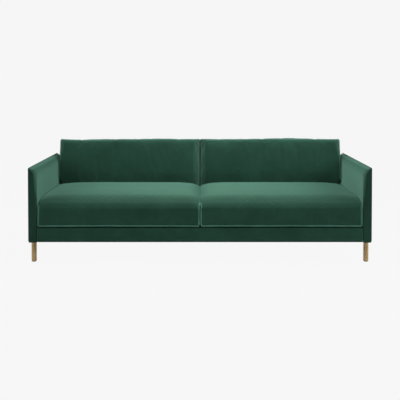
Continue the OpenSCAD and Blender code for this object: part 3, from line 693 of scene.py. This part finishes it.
def finish_cushions(made):
    """Swells the skins, lays the cords on them and dresses them."""
    for piece, body, *_, pinned in made:
        add_cloth(piece, pinned, GROWTH[body], BENDING[body])
    settle([m[0] for m in made])
    for piece, body, node, loops, edges, sheen_rim, pinned in made:
        points, normals = read(piece, "co"), read(piece, "normal")
        seams = [tube(points[loop] + normals[loop] * SEAM_OUT, CUSHION_SEAM_R) for loop in loops]
        inner = [tube(points[edge], INNER_SEAM_R, closed=False) for edge in edges]
        sheen_cord = tube(points[sheen_rim] + normals[sheen_rim] * SHEEN_CORD_OUT, SHEEN_CORD_R[body], closed=False)
        pull_in(piece, points, normals, [*loops, *edges, sheen_rim], SEAM_DENT)
        round_off = piece.modifiers.new("smooth", "SUBSURF")
        round_off.levels = round_off.render_levels = 1
        dress(piece, body, "velvet", node)
        # The back cushions' inner seam cords take the darker velvet: painted shade in the gap between the two
        # cushions
        shade = VELVET if body == "seat" else SHADED_VELVET
        # Dark seam cords: partly the seam itself, partly painted shade
        dress(make_mesh(node + "_seams", *joined(seams)), body, "velvet", material=SEAM_AND_SHADE)
        dress(make_mesh(node + "_inner_seams", *joined(inner)), body, "velvet", material=shade)
        # Light cords along the front edges: a painted highlight for the edges' sheen
        dress(make_mesh(node + "_edging", *sheen_cord), body, "velvet", material=PAINTED_SHEEN)


# Covered boards: the arms, the rails and the back's cover

def board(low, high, radii_of, shape, cell, edge, extra=()):
    """A padded board with edges rounded by radii_of and faces shaped by shape. extra holds more heights."""
    low, high = np.array(low), np.array(high)
    axes = [stops(a, b, min(edge, (b - a) * 0.4), fine=6, coarse=cell) for a, b in zip(low, high)]
    axes[2] = np.sort(np.concatenate([axes[2], extra]))
    points, quads, number = box_skin(*axes)
    centre, half = (low + high) / 2, (high - low) / 2
    t = (points - centre) / half
    points = soften(points, centre, half, np.minimum(radii_of(points, t), half * 0.999))
    t = (points - centre) / half
    return shape(points, t), quads, number


def arm_radii(points, t):
    """Radii of the right arm: its inner edges grow softer towards the top."""
    upper = step_up(points[:, 2], 0.38, 0.20)
    peak = step_up(points[:, 2], 0.53, 0.08)
    inner, top = ease((1 - t[:, 0]) / 2), ease(t[:, 2])
    across = 0.005 + inner * (0.006 + 0.018 * upper + 0.010 * peak)
    along = 0.005 + inner * (0.013 + 0.020 * upper + 0.030 * peak)
    upright = 0.004 + top * (0.001 + 0.031 * inner)
    return np.stack([across, along, upright], 1)


def arm_shape(points, t):
    """The right arm's inner face leans out near the top, both faces swell and the top falls inwards."""
    inner, outer = np.maximum(-t[:, 0], 0), np.maximum(t[:, 0], 0)
    full = bow(t[:, 1], 4) * step_up(points[:, 2], 0.25, 0.1) * bow(t[:, 2])
    lean, lean_h, inner_swell, outer_swell = 0.005, 0.20, 0.0025, 0.0008
    leaning = step_up(points[:, 2], ARM_HIGH[2] - lean_h, lean_h)
    outwards = outer * (0.0004 + outer_swell * full)
    points[:, 0] += lean * leaning * inner - inner_swell * inner * full + outwards
    top, fall, lining_gap = np.maximum(t[:, 2], 0), 0.013, 0.0015
    points[:, 2] += top * (0.0005 + 0.001 * ripple(points, 4, 9) - fall * (1 - t[:, 0]))
    points[:, 2] += lining_gap * (t[:, 2] < -0.99)
    return points


def arm_lining(word, side):
    """Thin sheet that closes an arm from below."""
    inset, thickness = np.array([0.004, 0.004, 0.0008]), 0.0012
    low, high = np.array(ARM_LOW) + inset, np.array(ARM_HIGH) - inset
    high[2] = low[2] + thickness
    points, quads, _ = box_skin(*[np.array([a, b]) for a, b in zip(low, high)])
    return make_mesh("arm_%s_lining" % word, *mirrored(points, quads, side), smooth=False)


def build_arms():
    """Each arm has a seam round its outer face and one up its inner front corner, below the padding. The seam
    cords are dark, partly painted shade, and the front face takes the darker velvet as painted shade.
    """
    padding_at = 0.44
    for side, word in SIDES:
        points, quads, number = board(ARM_LOW, ARM_HIGH, arm_radii, arm_shape, cell=0.016, edge=0.034)
        inner = [k for k in number[0, 0, :] if points[k, 2] < padding_at]
        outer = number[-1, :, :]
        front, top, rear = outer[0, 2:], outer[1:-1, -1], outer[-1, ::-1][:-2]
        line = np.concatenate([front, top, rear])
        points, quads = mirrored(points, quads, side)
        piece = make_mesh("arm_%s_velvet" % word, points, quads)
        normals = read(piece, "normal")
        seams = [tube(points[k] + normals[k] * SEAM_OUT, ARM_SEAM_R, closed=False) for k in (line, inner)]
        pull_in(piece, points, normals, [line], SEAM_DENT)
        dress(piece, "base", "velvet", "arm_cover_" + word, "arm_padding_" + word)
        # Faces that look straight ahead take the darker velvet: painted shade
        piece.data.materials.append(SHADED_VELVET)
        for face in piece.data.polygons:
            face.material_index = int(face.normal.y < -0.9)
        dress(make_mesh("arm_%s_seam" % word, *joined(seams)), "base", "velvet", material=SEAM_AND_SHADE)
        dress(arm_lining(word, side), "base", "velvet", material=LINING)


def plain_radii(radius):
    return lambda points, t: np.full((len(points), 3), radius)


def rail_shape(points, t):
    """Slight swell of the face, and the sewn line above the hem."""
    swell, groove_depth, groove_width = 0.0010, 0.0013, 0.0011
    groove = np.exp(-((points[:, 2] - RAIL_HEM) / groove_width) ** 2)
    face = np.maximum(np.abs(t[:, 1]) - 0.5, 0) * 2 * np.sign(t[:, 1])
    points[:, 1] += face * (swell * bow(t[:, 2]) * bow(t[:, 0], 8) - groove_depth * groove)
    return points


def build_rails():
    """The front rail's velvet stands a little off its CAD cover. Both rails have a dark seam cord at top and
    bottom, partly painted shade: a dark line under the seat cushions' front and at the hem.
    """
    for name, over, body in (("front_rail", 0.0012, "seat"), ("rear_rail", 0.0, "base")):
        low, high = (np.array(corner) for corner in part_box(name + "_cover"))
        low[0] -= over
        high[0] += over
        low[1] += over
        high[2] -= over
        near_hem = RAIL_HEM + np.linspace(-0.0024, 0.0024, 9)
        points, quads, number = board(
            low, high, plain_radii(0.004), rail_shape, cell=0.012, edge=0.008, extra=near_hem)
        dress(make_mesh(name + "_velvet", points, quads), body, "velvet", name + "_cover")
        # Dark cords at the top and bottom edges: seams, and painted shade along the gap and the hem
        seam_shade_cords = [tube(points[number[:, 0, k]], RAIL_SEAM_R, closed=False) for k in (0, -1)]
        dress(make_mesh(name + "_seams", *joined(seam_shade_cords)), body, "velvet", material=SEAM_AND_SHADE)


def cover_shape(points, t):
    """Slight swell of the rear face."""
    points[:, 1] += 0.003 * np.maximum(t[:, 1], 0) * bow(t[:, 0]) * bow(t[:, 2])
    return points


def build_back_cover():
    points, quads, number = board(
        COVER_LOW, COVER_HIGH, plain_radii(0.009), cover_shape, cell=0.020, edge=0.012)
    points = moved(points, IN_BACK)
    loop = perimeter(number, 1, -1)
    piece = make_mesh("back_velvet", points, quads)
    normals = read(piece, "normal")
    seam = tube(points[loop] + normals[loop] * COVER_SEAM_OUT, COVER_SEAM_R)
    pull_in(piece, points, normals, [loop], COVER_SEAM_DENT)
    dress(piece, "back", "velvet", "back_cover")
    dress(make_mesh("back_seam", *seam), "back", "velvet")


# CAD nodes that stay as they are

def finish_nodes():
    for part in frame["record"]["subparts"]:
        node, material = frame["nodes"][part["node"]], MATERIALS[part["material_slot"]]
        if not node.material_slots:
            node.data.materials.append(material)
        for holder in node.material_slots:
            holder.material = material


# Room, lamps and camera

def build_room():
    """Pale floor that bends up into a backdrop. The camera sees its tone and a faint shadow."""
    half_width, front, bend_at, bend_r, height = 14, -12, 6, 3, 12
    shadow_left_out = 0.985
    turns = np.linspace(0.1, math.pi / 2, 10)
    xs = np.linspace(-half_width, half_width, 3)
    ys = [front, bend_at] + [bend_at + bend_r * math.sin(a) for a in turns] + [bend_at + bend_r]
    zs = [0, 0] + [bend_r - bend_r * math.cos(a) for a in turns] + [height]
    points = [(x, y, z) for x in xs for y, z in zip(ys, zs)]
    rows = len(ys)
    starts = [i * rows + k for i in range(2) for k in range(rows - 1)]
    quads = [(s, s + rows, s + rows + 1, s + 1) for s in starts]
    floor = make_mesh("floor", points, quads)
    material, nodes, links, shader = new_material("floor")
    patches = noise_node(nodes, links, coordinates(nodes, links), scale=2.0)
    tone = ramp_node(nodes, links, patches, [(0.3, grey(0.80)), (0.7, grey(0.82))])
    links.new(tone, shader.inputs["Base Color"])
    shader.inputs["Roughness"].default_value = 1.0
    shader.inputs["Specular IOR Level"].default_value = 0.0
    glow = nodes.new("ShaderNodeEmission")
    glow.inputs["Color"].default_value = (*grey(FLOOR_TONE), 1)
    glow.inputs["Strength"].default_value = 1.0
    blend = nodes.new("ShaderNodeMixShader")
    blend.inputs["Fac"].default_value = shadow_left_out
    links.new(shader.outputs["BSDF"], blend.inputs[1])
    links.new(glow.outputs["Emission"], blend.inputs[2])
    seen = nodes.new("ShaderNodeMixShader")
    links.new(pale_rays(nodes, links), seen.inputs["Fac"])
    links.new(shader.outputs["BSDF"], seen.inputs[1])
    links.new(blend.outputs["Shader"], seen.inputs[2])
    links.new(seen.outputs["Shader"], nodes["Material Output"].inputs["Surface"])
    floor.data.materials.append(material)


def pale_rays(nodes, links):
    """1 for rays from the camera, in a mirror or through glass."""
    path = nodes.new("ShaderNodeLightPath")
    total = path.outputs["Is Camera Ray"]
    for name in ("Is Glossy Ray", "Is Transmission Ray"):
        add = nodes.new("ShaderNodeMath")
        add.operation = "MAXIMUM"
        links.new(total, add.inputs[0])
        links.new(path.outputs[name], add.inputs[1])
        total = add.outputs[0]
    return total


def build_world():
    """The world gives no light, and shows its tone to the pale rays only."""
    world = bpy.data.worlds.new("world")
    bpy.context.scene.world = world
    world.use_nodes = True
    nodes, links = world.node_tree.nodes, world.node_tree.links
    plain = nodes["Background"]
    plain.inputs["Color"].default_value = (*grey(1), 1)
    plain.inputs["Strength"].default_value = 0.0
    pale = nodes.new("ShaderNodeBackground")
    pale.inputs["Color"].default_value = (*grey(WORLD_TONE), 1)
    seen = nodes.new("ShaderNodeMixShader")
    links.new(pale_rays(nodes, links), seen.inputs["Fac"])
    links.new(plain.outputs["Background"], seen.inputs[1])
    links.new(pale.outputs["Background"], seen.inputs[2])
    links.new(seen.outputs["Shader"], nodes["World Output"].inputs["Surface"])


def add_lamp(name, place, size, power):
    """Area lamp of a given size in metres and power in watts, aimed at the middle of the sofa bed."""
    aim = Vector((0, 0, 0.4))
    lamp = bpy.data.lights.new(name, "AREA")
    lamp.shape = "RECTANGLE"
    lamp.size, lamp.size_y = size
    lamp.energy = power
    holder = bpy.data.objects.new(name, lamp)
    holder.location = place
    holder.rotation_euler = (aim - Vector(place)).to_track_quat("-Z", "Y").to_euler()
    holder.visible_camera = False
    bpy.context.scene.collection.objects.link(holder)


def build_lamps():
    add_lamp("overhead", place=(0.24, 0.05, 2.0), size=(1.2, 1.0), power=23)
    add_lamp("side_left", place=(-3.0, -0.35, 1.5), size=(1.6, 1.6), power=38)
    add_lamp("side_right", place=(3.0, -0.35, 1.5), size=(1.6, 1.6), power=53)
    add_lamp("front_top", place=(0.4, -2.6, 3.6), size=(3.0, 1.5), power=81)


def build_camera():
    """Straight in front, 1.5 degrees down. Its place, lens and shift are fitted to the photograph."""
    camera = bpy.data.cameras.new("camera")
    camera.sensor_width = 36
    camera.lens = 62.153
    camera.shift_y = -0.2607
    camera.clip_end = 100
    holder = bpy.data.objects.new("camera", camera)
    holder.location = (0, -4.851, 1.1925)
    holder.rotation_euler = Euler((math.radians(90 - 1.5), 0, 0))
    bpy.context.scene.collection.objects.link(holder)
    bpy.context.scene.camera = holder


finish_cushions(build_cushions())
build_arms()
build_rails()
build_back_cover()
finish_nodes()
build_room()
build_world()
build_lamps()
build_camera()
bpy.context.scene.view_settings.view_transform = "Standard"
